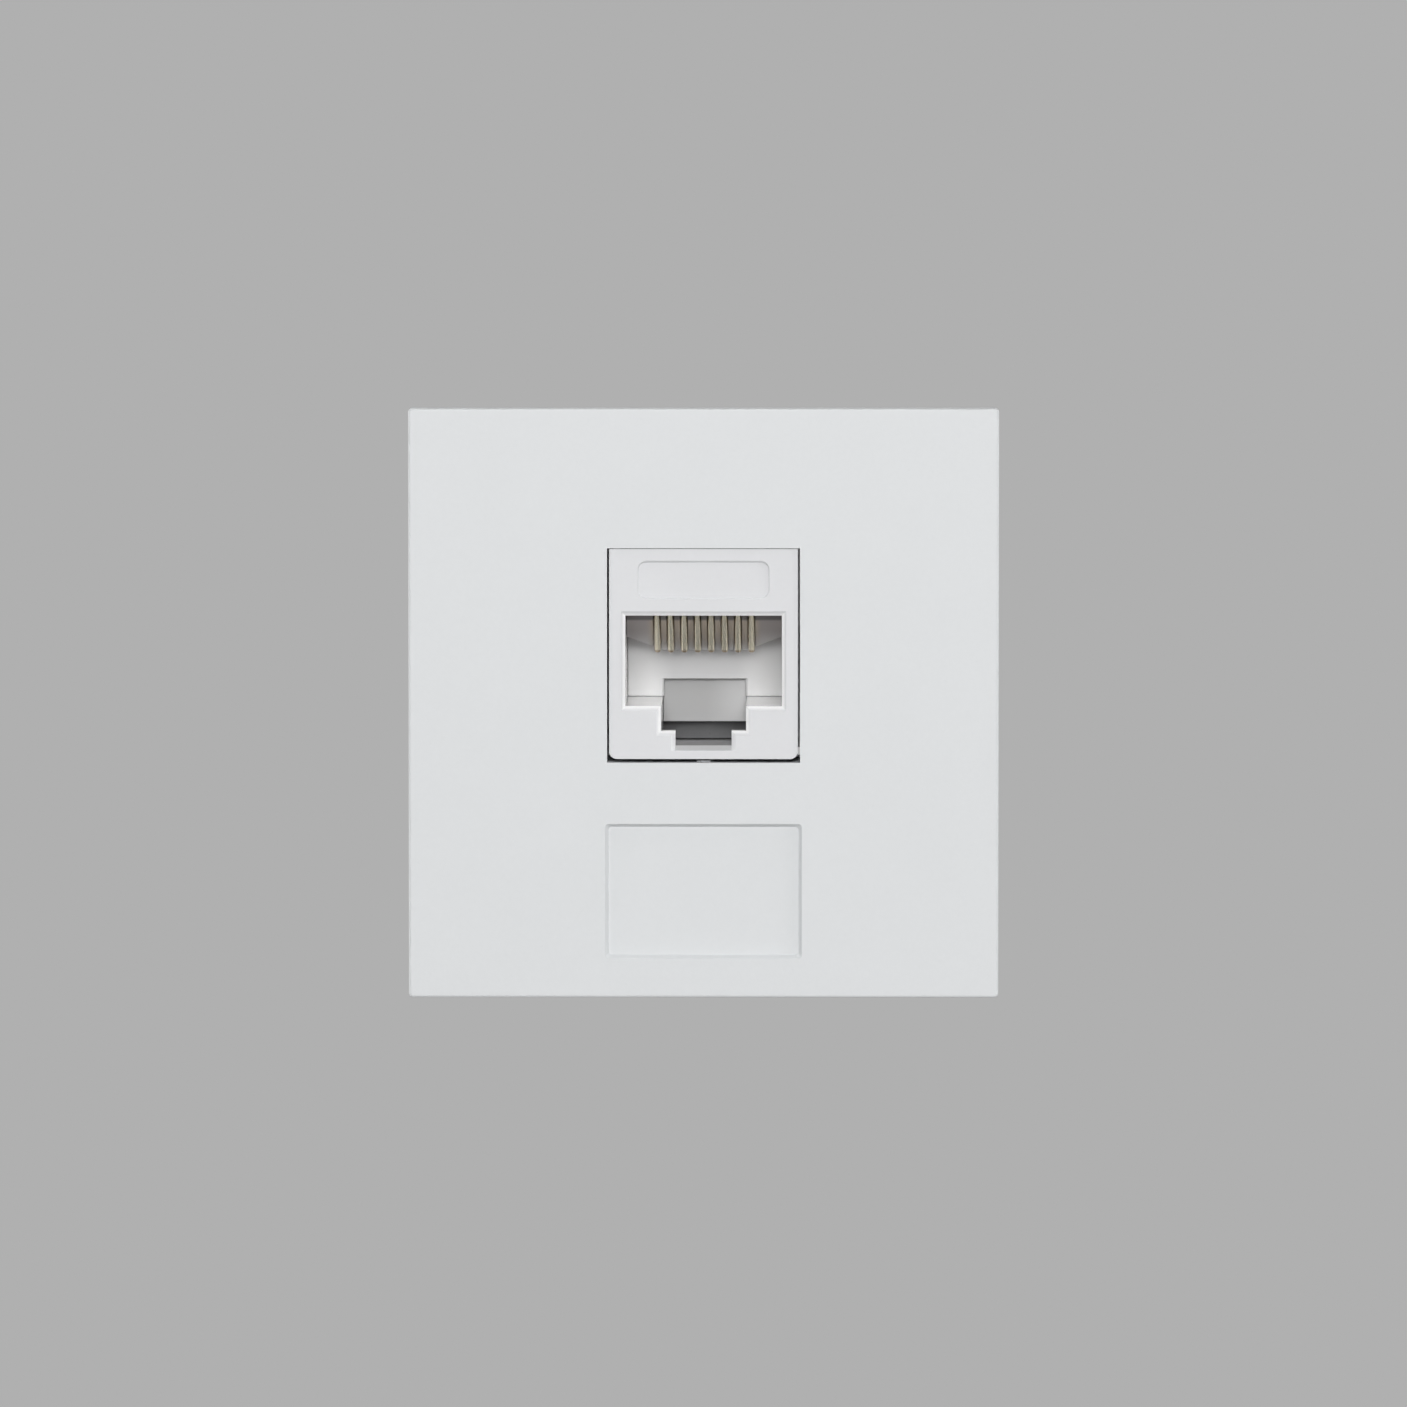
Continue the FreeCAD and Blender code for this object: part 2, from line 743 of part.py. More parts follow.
def contact_carrier():
    """The comb that holds the contact wires apart, with the wall that stops the plug."""
    body = new_body("contact_carrier")
    front = jack_front + s.carrier_front
    edge = carrier_wall - s.comb_edge_gap
    slot_end = carrier_wall - s.comb_slot_gap
    half = port_half - s.carrier_gap
    top = roof - s.carrier_gap
    foot = port_floor + s.carrier_gap
    slab_under = groove_floor - s.comb_floor
    profile = side_sketch(body, "carrier_profile")
    outline(profile, [
        (front, top),
        (jack_back, top),
        (jack_back, slab_under),
        (carrier_back, slab_under),
        (carrier_back, foot),
        (carrier_wall, foot),
        (carrier_wall, comb_edge),
        (edge, comb_edge),
        (front, port_top - s.comb_front_drop),
    ])
    add(body, profile, half * 2, symmetric=True)

    corners = front_sketch(body, "comb_corners", front)
    for side in (1, -1):
        outline(corners, [
            (mirrored(s.comb_corner_half, side), comb_edge),
            (mirrored(half, side), comb_edge),
            (mirrored(half, side), comb_edge + s.comb_corner_rise),
        ])
    cut(body, corners, carrier_wall - front)

    grooves = front_sketch(body, "wire_grooves", front)
    for place in contact_places():
        rectangle(grooves, place - s.wire_slot / 2, place + s.wire_slot / 2, groove_floor, top)
    cut(body, grooves, jack_back - front)

    nose = jack_front + s.wire_bend_depth - s.wire_bend + s.wire_size
    slots = side_sketch(body, "comb_slots", contact_places()[0])
    outline(slots, [
        (front, groove_floor),
        (nose, groove_floor),
        (nose, slab_under),
        (slot_end, slab_under),
        (slot_end, comb_edge),
        (front, comb_edge),
    ])
    first_slot = cut(body, slots, s.wire_slot, symmetric=True)
    comb = body.newObject("PartDesign::LinearPattern", "comb")
    comb.Originals = [first_slot]
    comb.Direction = (next(f for f in body.Origin.OriginFeatures if f.Role == "X_Axis"), [""])
    bind(comb, "Length", s.wire_pitch * (CONTACTS - 1))
    comb.Occurrences = CONTACTS
    body.Tip = comb
    doc.recompute()

    niche = front_sketch(body, "niche", carrier_wall)
    niche_half = s.niche_width / 2
    rectangle(niche, -niche_half, niche_half, foot, port_floor + s.niche_rise)
    cut(body, niche, s.niche_depth)
    bevel_edges(
        body,
        "niche_bevel",
        s.niche_bevel,
        lambda box: lies_at_depth(box, carrier_wall) and box.XLength < TOUCH
        and same(abs(box.XMin), niche_half),
    )
    tongue = front_sketch(body, "tongue", carrier_wall + s.niche_depth)
    tongue_half = channel_half - s.carrier_gap
    rectangle(tongue, -tongue_half, tongue_half, port_floor - s.tongue_drop, foot)
    add(body, tongue, s.back_wall - s.niche_depth, reverse=True)
    return body


def wire_tip():
    """Depth and height of the wires' free ends, in front of the carrier's wall."""
    return carrier_wall - s.wire_tip_gap, port_top - s.wire_tip_drop


def wire_path(sketch):
    """Back from the board, round the nose of the comb and down to the free tip."""
    tail = (board_back + s.tail_length, wire_run)
    turn = (jack_front + s.wire_bend_depth, wire_run)
    tip = wire_tip()
    radius = s.wire_bend.value
    centre = vector(turn) - FreeCAD.Vector(0, radius, 0)
    reach = vector(tip) - centre
    slope = math.atan2(reach.y, reach.x) + math.asin(radius / reach.Length)
    touch = centre + FreeCAD.Vector(math.sin(slope), -math.cos(slope), 0) * radius
    arc = Part.ArcOfCircle(
        Part.Circle(centre, FreeCAD.Vector(0, 0, 1), radius), math.pi / 2, slope + 1.5 * math.pi
    )
    run = sketch.addGeometry(Part.LineSegment(vector(tail), vector(turn)))
    bend = sketch.addGeometry(arc)
    spring = sketch.addGeometry(Part.LineSegment(touch, vector(tip)))
    sketch.addConstraint(Sketcher.Constraint("Tangent", run, 2, bend, 1))
    sketch.addConstraint(Sketcher.Constraint("Tangent", bend, 2, spring, 1))
    fix_point(sketch, run, 1, tail)
    fix_point(sketch, run, 2, turn)
    fix_point(sketch, spring, 2, tip)
    index = sketch.addConstraint(Sketcher.Constraint("Radius", bend, radius))
    sketch.setExpression(f"Constraints[{index}]", s.wire_bend.formula)


def contact_wire(number, place):
    """A square wire with coined edges and a blunted tip."""
    body = new_body(f"contact_wire_{number}")
    half = s.wire_size / 2
    flat = half - s.wire_bevel
    quarter = [(half, flat), (flat, half), (-flat, half), (-half, flat)]
    ring = quarter + [(-across, -height) for across, height in quarter]
    section = front_sketch(body, f"wire_section_{number}", board_back + s.tail_length)
    outline(section, [(across, wire_run + height) for across, height in ring])
    path = side_sketch(body, f"wire_path_{number}")
    wire_path(path)
    doc.recompute()
    wire = body.newObject("PartDesign::AdditivePipe", f"wire_{number}")
    wire.Profile = section
    wire.Spine = (path, [])
    doc.recompute()
    tip_depth, tip_height = (length.value for length in wire_tip())
    bevel_edges(
        body,
        f"wire_tip_{number}",
        s.wire_tip_bevel,
        lambda box: box.YMin > tip_depth - s.wire_size.value
        and box.ZMax < tip_height + s.wire_size.value,
    )
    bind(body, "Placement.Base.x", place)
    return body


def terminal_places():
    """Across and up: the eight forked terminals, the upper row first."""
    return [(across, height) for height in row_places() for across in slot_places()]


def circuit_board():
    body = new_body("circuit_board")
    half = jack_half - s.block_wall - s.board_gap
    inset = s.block_wall + s.board_gap
    blank = front_sketch(body, "board", jack_back)
    rectangle(blank, -half, half, jack_bottom + inset, body_top - inset)
    add(body, blank, s.board_thickness, reverse=True)
    round_edges(body, "board_corners", s.board_corner, runs_along_y)
    holes = front_sketch(body, "board_holes", jack_back)
    for place in contact_places():
        circle(holes, (place, wire_run), s.contact_hole)
    for place in terminal_places():
        circle(holes, place, s.terminal_hole)
    cut(body, holes, s.board_thickness)
    return body


def block_tray(body):
    """The base of the wiring block, with a rim round the board and room for its tails."""
    blank = front_sketch(body, "block", jack_back)
    rectangle(blank, -jack_half, jack_half, jack_bottom, body_top)
    add(body, blank, s.board_thickness + s.block_base, reverse=True)
    round_edges(body, "block_corners", s.block_corner, runs_along_y)
    half = jack_half - s.block_wall
    tray = front_sketch(body, "board_tray", jack_back)
    rectangle(tray, -half, half, jack_bottom + s.block_wall, body_top - s.block_wall)
    cut(body, tray, s.board_thickness)
    room = front_sketch(body, "tail_room", board_back)
    room_half = s.wire_pitch * CONTACTS / 2
    rectangle(room, -room_half, room_half, wire_run - s.wire_pitch / 2, wire_run + s.wire_pitch / 2)
    cut(body, room, s.tail_room)


def block_towers(body):
    """Two rows of pointed towers, with slits that hold the terminals."""
    thick = s.slot_pitch - s.slot_gap
    for name, height in zip(("upper", "lower"), row_places()):
        towers = plan_sketch(body, f"{name}_towers", height)
        for index in range(SLOTS_PER_ROW + 1):
            middle = s.slot_pitch * (index - SLOTS_PER_ROW / 2)
            shoulder = tower_top - s.tower_point
            outline(towers, [
                (middle - thick / 2, base_back),
                (middle - thick / 2, shoulder),
                (middle - s.tower_tip / 2, tower_top),
                (middle + s.tower_tip / 2, tower_top),
                (middle + thick / 2, shoulder),
                (middle + thick / 2, base_back),
            ])
        add(body, towers, s.tower_length, symmetric=True)
    slits = front_sketch(body, "blade_slits", board_back)
    half = s.blade_width / 2 + s.blade_gap
    thin = s.blade_thickness / 2 + s.blade_gap
    for across, height in terminal_places():
        rectangle(slits, across - half, across + half, height - thin, height + thin)
    cut(body, slits, blade_top + s.blade_gap - board_back)


def block_clips(body):
    """A sprung arm on each side that reaches over the jack and snaps over its lug."""
    back = board_back + s.block_base / 2
    window = clip_front + s.clip_bar
    for name, side in (("right", 1), ("left", -1)):
        wall = mirrored(jack_half, side)
        near = mirrored(jack_half + s.clip_gap, side)
        far = mirrored(jack_half + s.clip_gap + s.clip_thickness, side)
        arm = plan_sketch(body, f"{name}_clip", body_middle)
        outline(arm, [
            (near, clip_front),
            (far, clip_front),
            (far, back),
            (wall, back + s.clip_thickness),
            (wall, jack_back + s.clip_gap),
            (near, jack_back + s.clip_gap),
        ])
        add(body, arm, s.clip_height, symmetric=True)
        hole = plan_sketch(body, f"{name}_clip_window", body_middle)
        outline(hole, [
            (near, window),
            (far, window),
            (far, window + s.clip_window),
            (near, window + s.clip_window),
        ])
        cut(body, hole, s.lug_height + s.clip_gap * 2, symmetric=True)


def wiring_block():
    body = new_body("wiring_block")
    block_tray(body)
    block_towers(body)
    block_clips(body)
    return body


def terminal(number, across, height):
    """A flat forked blade: its jaws grip a wire and its tail goes into the board."""
    body = new_body(f"terminal_{number}")
    half = s.blade_width / 2
    tail = s.tail_width / 2
    shoulder = board_back + s.blade_shoulder
    slit = s.fork_slit / 2
    mouth = s.fork_mouth / 2
    right_half = [
        (tail, jack_back - s.tail_length),
        (tail, shoulder),
        (half, shoulder),
        (half, blade_top),
        (mouth, blade_top),
        (slit, blade_top - s.fork_lead),
        (slit, blade_top - s.fork_depth),
    ]
    left_half = [(-x, y) for x, y in reversed(right_half)]
    blade = plan_sketch(body, f"blade_{number}")
    outline(blade, right_half + left_half)
    add(body, blade, s.blade_thickness, symmetric=True)
    bind(body, "Placement.Base.x", across)
    bind(body, "Placement.Base.z", height)
    return body


def wire_cap(label, height):
    """A push-on cover: a trough over one row of towers, with notches for the wires."""
    body = new_body(label)
    inner_x = row_half + s.cap_gap
    inner_z = s.tower_length / 2 + s.cap_gap
    outer_x = inner_x + s.cap_wall
    outer_z = inner_z + s.cap_wall
    ceiling = tower_top + s.cap_gap
    mouth = ceiling - s.cap_skirt
    shell = front_sketch(body, f"{label}_shell", mouth)
    rectangle(shell, -outer_x, outer_x, -outer_z, outer_z)
    add(body, shell, s.cap_skirt + s.cap_top, reverse=True)
    top = ceiling + s.cap_top
    round_edges(
        body,
        f"{label}_rounds",
        s.cap_round,
        lambda box: runs_along_y(box) or lies_at_depth(box, top),
    )
    trough = front_sketch(body, f"{label}_trough", mouth)
    rectangle(trough, -inner_x, inner_x, -inner_z, inner_z)
    cut(body, trough, s.cap_skirt)
    notches = front_sketch(body, f"{label}_notches", mouth)
    for place in slot_places():
        rectangle(notches, place - s.cap_notch / 2, place + s.cap_notch / 2, -outer_z, outer_z)
    cut(body, notches, s.cap_notch_height)
    rammers = front_sketch(body, f"{label}_rammers", ceiling)
    thin = s.rammer_width / 2
    for place in slot_places():
        for side in (1, -1):
            near = mirrored(s.rammer_gap, side)
            far = mirrored(s.tower_length / 2, side)
            rectangle(rammers, place - thin, place + thin, near, far)
    add(body, rammers, s.rammer_height)
    bind(body, "Placement.Base.z", height)
    return body


def build_all():
    parts = [module_plate(), jack_housing(), contact_carrier()]
    for number, place in enumerate(contact_places(), start=1):
        parts.append(contact_wire(number, place))
    parts.append(circuit_board())
    parts.append(wiring_block())
    for number, (across, height) in enumerate(terminal_places(), start=1):
        parts.append(terminal(number, across, height))
    for label, height in zip(("upper_wire_cap", "lower_wire_cap"), row_places()):
        parts.append(wire_cap(label, height))
    return parts


bodies = build_all()
doc.recompute()
failed = [thing.Label for thing in doc.Objects if {"Invalid", "Error"} & set(thing.State)]
if failed:
    raise RuntimeError(f"these did not build: {failed}")
for body in bodies:
    if body.Shape.isNull() or not body.Shape.isValid() or len(body.Shape.Solids) != 1:
        raise RuntimeError(f"{body.Label} is not one sound solid")

os.makedirs("parts", exist_ok=True)
for body in bodies:
    body.Shape.exportStep(os.path.join("parts", f"{body.Label}.step"))
    print(body.Label, f"{body.Shape.Volume:.2f} mm3")
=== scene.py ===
# %% [markdown]
# # Ethernet socket module
# A square white plate snaps into a 45 mm frame and carries a plug-in network jack. The solids come
# from the CAD model, and everything here only dresses them: softened edges, moulded plastic, sprung
# gold contacts, a few moulding marks. Loading the solids first gives one frame of metres for all of it.

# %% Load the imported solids
import math

import bmesh
import bpy
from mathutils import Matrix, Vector


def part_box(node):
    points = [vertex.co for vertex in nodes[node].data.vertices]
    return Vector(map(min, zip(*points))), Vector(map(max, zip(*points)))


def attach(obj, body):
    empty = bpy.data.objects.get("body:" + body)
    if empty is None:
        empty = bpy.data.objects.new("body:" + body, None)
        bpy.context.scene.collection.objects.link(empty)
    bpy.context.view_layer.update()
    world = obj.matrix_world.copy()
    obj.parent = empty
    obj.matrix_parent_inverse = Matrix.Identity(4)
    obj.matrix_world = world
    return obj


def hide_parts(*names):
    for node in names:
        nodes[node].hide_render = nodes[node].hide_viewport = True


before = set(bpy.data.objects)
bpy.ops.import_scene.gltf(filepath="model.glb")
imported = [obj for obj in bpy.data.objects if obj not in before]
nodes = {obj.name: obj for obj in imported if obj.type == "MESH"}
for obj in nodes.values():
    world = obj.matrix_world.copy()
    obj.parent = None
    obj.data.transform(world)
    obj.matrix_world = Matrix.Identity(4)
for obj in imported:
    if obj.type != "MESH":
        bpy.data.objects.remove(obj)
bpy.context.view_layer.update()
MM = 0.001


def in_mm(box):
    return [[round(value / MM, 2) for value in corner] for corner in box]


# %% [markdown]
# ## Camera
# The plate fills 0.42 of the picture's width and its edges hardly converge, so the picture was taken
# from far away with a long lens. A strip of the port's floor shows, so the eye is a little above the
# middle, and the wall deep in the port sits a hair to the right, so the eye is a little to the right.
# Turning those facts into a lens, a distance and two angles is safer than nudging by hand.

# %% Place the camera
LENS_MM = 300.0
SENSOR_MM = 36.0
ELEVATION = math.radians(3.6)
AZIMUTH = math.radians(0.5)
PLATE_SHARE = 590.2 / 1407.0
scene = bpy.context.scene
plate_low, plate_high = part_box("module_plate")
aim = Vector((0.0, plate_low.y, 0.0))
view_width = (plate_high.x - plate_low.x) / PLATE_SHARE
distance = view_width * LENS_MM / SENSOR_MM
camera_data = bpy.data.cameras.new("camera")
camera_data.lens = LENS_MM
camera_data.sensor_width = SENSOR_MM
camera_data.clip_start = 0.01
camera_data.clip_end = 20.0
camera = bpy.data.objects.new("camera", camera_data)
level = math.cos(ELEVATION)
eye = Vector((level * math.sin(AZIMUTH), -level * math.cos(AZIMUTH), math.sin(ELEVATION)))
camera.location = aim + eye * distance
camera.rotation_euler = (-eye).to_track_quat("-Z", "Y").to_euler()
scene.collection.objects.link(camera)
scene.camera = camera
print("camera", round(distance, 3), "m away, frame", round(view_width / MM, 1), "mm wide")

# %% [markdown]
# ## Node helper
# Every material, light and repeated piece below is a small node tree. One helper that makes a node,
# sets its options and fills its sockets keeps those trees short enough to read as recipes. A sum, a
# soft step and a mask for what shows the backdrop are needed more than once too, so they stand on it.


# %% Make nodes
def put(tree, kind, sockets=None, **options):
    """A node with its options set, and its sockets given a value or a link."""
    node = tree.nodes.new(kind)
    for name, value in options.items():
        setattr(node, name, value)
    for name, value in (sockets or {}).items():
        if isinstance(value, bpy.types.NodeSocket):
            tree.links.new(value, node.inputs[name])
        else:
            node.inputs[name].default_value = value
    return node


def reckon(tree, operation, first, second=0.0):
    """One sum on two values or sockets."""
    return put(tree, "ShaderNodeMath", {0: first, 1: second}, operation=operation).outputs[0]


def soft_step(tree, value, start, end):
    """Nought to one between two values, with a smooth start and end."""
    sockets = {"Value": value, "From Min": start, "From Max": end}
    return put(tree, "ShaderNodeMapRange", sockets, interpolation_type="SMOOTHSTEP").outputs[0]


def seen_mask(tree):
    """One for rays that show the backdrop itself: to the camera, in gloss and through glass."""
    path = put(tree, "ShaderNodeLightPath")
    seen = reckon(tree, "MAXIMUM", path.outputs["Is Camera Ray"], path.outputs["Is Glossy Ray"])
    return reckon(tree, "MAXIMUM", seen, path.outputs["Is Transmission Ray"])


print("node helpers:", ", ".join(helper.__name__ for helper in (put, reckon, soft_step, seen_mask)))

# %% [markdown]
# ## Studio
# The picture has a plain mid grey behind the module and very even light: a soft lamp just above the
# camera reaches deep into the port, and weaker ones at the sides and above shape the edges. The
# world adds only a little, so that hardly any light leaks through the thin gaps round the jack, and
# two lamps at the back serve the views from there. The lamp above gives no gloss, or else it would
# draw a white line along each edge that looks up.

# %% Set the backdrop
BACKDROP = (0.434, 0.434, 0.434, 1.0)
AMBIENT = 0.05
scene.view_settings.view_transform = "Standard"
world = bpy.data.worlds.new("studio")
world.use_nodes = True
scene.world = world
sky = world.node_tree
sky.nodes.clear()
around = put(sky, "ShaderNodeBackground", {"Color": (1.0, 1.0, 1.0, 1.0), "Strength": AMBIENT})
behind = put(sky, "ShaderNodeBackground", {"Color": BACKDROP, "Strength": 1.0})
shown = put(sky, "ShaderNodeMixShader", {0: seen_mask(sky), 1: around.outputs[0], 2: behind.outputs[0]})
put(sky, "ShaderNodeOutputWorld", {"Surface": shown.outputs[0]})
print("world shows", BACKDROP[0], "and gives", AMBIENT)

# %% Place the lamps
LAMP_DISTANCE = 0.9


def soft_lamp(name, direction, size, watts):
    """A square lamp that faces the module from one direction."""
    lamp = bpy.data.lights.new(name, "AREA")
    lamp.shape = "SQUARE"
    lamp.size = size
    lamp.energy = watts
    holder = bpy.data.objects.new(name, lamp)
    holder.location = Vector(direction).normalized() * LAMP_DISTANCE
    holder.rotation_euler = (-holder.location).to_track_quat("-Z", "Y").to_euler()
    scene.collection.objects.link(holder)
    print("lamp", name, watts, "W")
    return holder


soft_lamp("key", (0.03, -0.945, 0.31), size=0.34, watts=4.6)
soft_lamp("right", (0.88, -0.42, 0.15), size=0.5, watts=1.95)
soft_lamp("left", (-0.88, -0.42, 0.15), size=0.5, watts=1.2)
overhead = soft_lamp("top", (0.0, -0.30, 0.95), size=0.5, watts=1.5)
overhead.visible_glossy = False
soft_lamp("back left", (-0.76, 0.62, 0.18), size=0.5, watts=4.4)
soft_lamp("back right", (0.76, 0.62, 0.18), size=0.5, watts=3.0)

# %% [markdown]
# ## Floor
# Other views look down on something, so a grey floor lies well below the module. It is a disc, and
# away from its middle it takes the backdrop's grey, so that no edge of it ever crosses a picture. From
# underneath it is clear, so that the module can be looked at from there too.

# %% Lay the floor
FLOOR_LEVEL = -0.09
FLOOR_RADIUS = 1.6
FLOOR_STEPS = 96
rim = [2.0 * math.pi * step / FLOOR_STEPS for step in range(FLOOR_STEPS)]
floor_mesh = bpy.data.meshes.new("floor")
floor_mesh.from_pydata(
    [(FLOOR_RADIUS * math.cos(turn), FLOOR_RADIUS * math.sin(turn), FLOOR_LEVEL) for turn in rim],
    [],
    [list(range(FLOOR_STEPS))],
)
floor = bpy.data.objects.new("floor", floor_mesh)
scene.collection.objects.link(floor)
print("floor at", FLOOR_LEVEL, "m")

# %% Paint the floor
FLOOR_DARK = (0.56, 0.56, 0.56, 1.0)
FLOOR_LIGHT = (0.60, 0.60, 0.60, 1.0)
FADE_START = 0.13
FADE_END = 0.28


def blank_material(name):
    """A material with no nodes yet, and its tree."""
    material = bpy.data.materials.new(name)
    material.use_nodes = True
    material.node_tree.nodes.clear()
    return material, material.node_tree


floor_paint, paint = blank_material("floor_paint")
spot = put(paint, "ShaderNodeTexCoord").outputs["Object"]
reach = put(paint, "ShaderNodeVectorMath", {0: spot}, operation="LENGTH").outputs["Value"]
fade = soft_step(paint, reach, FADE_START, FADE_END)
cloud = put(paint, "ShaderNodeTexNoise", {"Vector": spot, "Scale": 30.0, "Detail": 3.0})
tint = put(paint, "ShaderNodeMix", {
    "Factor": cloud.outputs["Fac"],
    6: FLOOR_DARK,
    7: FLOOR_LIGHT,
}, data_type="RGBA")
matte = put(paint, "ShaderNodeBsdfDiffuse", {"Color": tint.outputs[2]})
glow = put(paint, "ShaderNodeEmission", {"Color": BACKDROP, "Strength": 1.0})
far = reckon(paint, "MULTIPLY", fade, seen_mask(paint))
mixed = put(paint, "ShaderNodeMixShader", {0: far, 1: matte.outputs[0], 2: glow.outputs[0]})
clear = put(paint, "ShaderNodeBsdfTransparent")
under = put(paint, "ShaderNodeNewGeometry").outputs["Backfacing"]
one_way = put(paint, "ShaderNodeMixShader", {0: under, 1: mixed.outputs[0], 2: clear.outputs[0]})
put(paint, "ShaderNodeOutputMaterial", {"Surface": one_way.outputs[0]})
floor.data.materials.append(floor_paint)
print("floor fades from", FADE_START, "to", FADE_END, "m")

# %% [markdown]
# ## Softened edges
# A mould never gives a knife edge, and the thin bright lines round the opening come from edges of
# less than a tenth of a millimetre. Rounding them in CAD would cost thousands of facets, so a stack
# of modifiers does it here: weld the loose triangles, merge flat ones, bevel the sharp edges, then
# even the normals.

# %% Soften the nodes' edges
SAME_POINT = 1e-6
FLAT_ANGLE = math.radians(0.5)
SHARP_ANGLE = math.radians(38.0)


def soften(name, width_mm, segments=2):
    """Modifiers that round a node's sharp edges to a width in millimetres."""
    piece = nodes[name]
    weld = piece.modifiers.new("weld", "WELD")
    weld.merge_threshold = SAME_POINT
    merge = piece.modifiers.new("merge", "DECIMATE")
    merge.decimate_type = "DISSOLVE"
    merge.angle_limit = FLAT_ANGLE
    bevel = piece.modifiers.new("soften", "BEVEL")
    bevel.width = width_mm * MM
    bevel.segments = segments
    bevel.limit_method = "ANGLE"
    bevel.angle_limit = SHARP_ANGLE
    even = piece.modifiers.new("even", "WEIGHTED_NORMAL")
    even.weight = 60
    even.keep_sharp = False


SOFT_EDGES = {
    "module_plate": 0.06,
    "jack_housing": 0.05,
    "contact_carrier": 0.05,
    "wiring_block": 0.07,
    "upper_wire_cap": 0.06,
    "lower_wire_cap": 0.06,
    "circuit_board": 0.04,
}
TERMINALS = [f"terminal_{number}" for number in range(1, 9)]
TERMINAL_EDGE = 0.03
for name, width_mm in SOFT_EDGES.items():
    soften(name, width_mm)
for name in TERMINALS:
    soften(name, TERMINAL_EDGE, segments=1)
print("softened nodes:", len(SOFT_EDGES) + len(TERMINALS))

# %% [markdown]
# ## Moulded skin
# White mouldings look flat from afar, but close up they have a fine spark-eroded grain, faint clouds
# of tone and a few specks. All plastics here share that, so it is one node group with its own inputs.


# %% Build the moulded skin group
def new_group(name, inputs, outputs):
    """A shader group that takes and gives plain numbers, with its two end nodes."""
    group = bpy.data.node_groups.new(name, "ShaderNodeTree")
    for label, value in inputs.items():
        socket = group.interface.new_socket(name=label, in_out="INPUT", socket_type="NodeSocketFloat")
        socket.default_value = value
    for label in outputs:
        group.interface.new_socket(name=label, in_out="OUTPUT", socket_type="NodeSocketFloat")
    return group, group.nodes.new("NodeGroupInput"), group.nodes.new("NodeGroupOutput")


skin, skin_in, skin_out = new_group(
    "moulded_skin",
    {"Grain Scale": 2600.0, "Cloud Scale": 160.0, "Speck Scale": 900.0},
    ["Tone", "Sheen", "Height"],
)
place = put(skin, "ShaderNodeTexCoord").outputs["Object"]
grain = put(skin, "ShaderNodeTexNoise", {
    "Vector": place,
    "Scale": skin_in.outputs["Grain Scale"],
    "Detail": 3.0,
    "Roughness": 0.6,
})
clouds = put(skin, "ShaderNodeTexNoise", {
    "Vector": place,
    "Scale": skin_in.outputs["Cloud Scale"],
    "Detail": 2.0,
})
specks = put(skin, "ShaderNodeTexVoronoi", {"Vector": place, "Scale": skin_in.outputs["Speck Scale"]})
speck = put(skin, "ShaderNodeMapRange", {
    "Value": specks.outputs["Distance"],
    "From Min": 0.03,
    "From Max": 0.12,
    "To Min": 0.5,
})
blend = reckon(skin, "ADD", grain.outputs["Fac"], clouds.outputs["Fac"])
tone = reckon(skin, "MULTIPLY", reckon(skin, "MULTIPLY", blend, 0.5), speck.outputs[0])
skin.links.new(tone, skin_out.inputs["Tone"])
skin.links.new(clouds.outputs["Fac"], skin_out.inputs["Sheen"])
skin.links.new(grain.outputs["Fac"], skin_out.inputs["Height"])
print("group", skin.name, "with", len(skin.nodes), "nodes")

# %% [markdown]
# ## Plastic
# A plastic takes the three values of the skin: the tone mixes two close colours, the sheen varies the
# roughness a little, and the height drives a bump of a few thousandths of a millimetre. The shader
# stays in the material, so that each plastic can be read in one place.

# %% Mix a plastic from the skin
UM = 1e-6
SHEEN_SPREAD = 0.06


def mix_tones(tree, factor, first, second):
    """A colour between two, each a plain colour or a socket."""
    pair = [value if isinstance(value, bpy.types.NodeSocket) else (*value, 1.0) for value in (first, second)]
    sockets = {"Factor": factor, 6: pair[0], 7: pair[1]}
    return put(tree, "ShaderNodeMix", sockets, data_type="RGBA").outputs[2]


def plastic(name, dark, light, rough, grain_scale, depth_um, gloss=0.4, shade=None):
    """Moulded plastic between two close tones; shade may change the colour over the piece."""
    material, tree = blank_material(name)
    surface = put(tree, "ShaderNodeGroup", node_tree=skin)
    surface.inputs["Grain Scale"].default_value = grain_scale
    colour = mix_tones(tree, surface.outputs["Tone"], dark, light)
    if shade:
        colour = shade(tree, colour)
    roughness = put(tree, "ShaderNodeMapRange", {
        "Value": surface.outputs["Sheen"],
        "To Min": rough - SHEEN_SPREAD,
        "To Max": rough + SHEEN_SPREAD,
    })
    bump = put(tree, "ShaderNodeBump", {
        "Height": surface.outputs["Height"],
        "Strength": 1.0,
        "Distance": depth_um * UM,
    })
    shader = put(tree, "ShaderNodeBsdfPrincipled", {
        "Base Color": colour,
        "Roughness": roughness.outputs[0],
        "Normal": bump.outputs[0],
        "Specular IOR Level": gloss,
    })
    put(tree, "ShaderNodeOutputMaterial", {"Surface": shader.outputs[0]})
    print("plastic", name)
    return material


def dress(material, names):
    """Gives nodes a material through their own slots."""
    for name in names:
        piece = nodes[name]
        if not piece.material_slots:
            piece.data.materials.append(material)
        for slot in piece.material_slots:
            slot.material = material
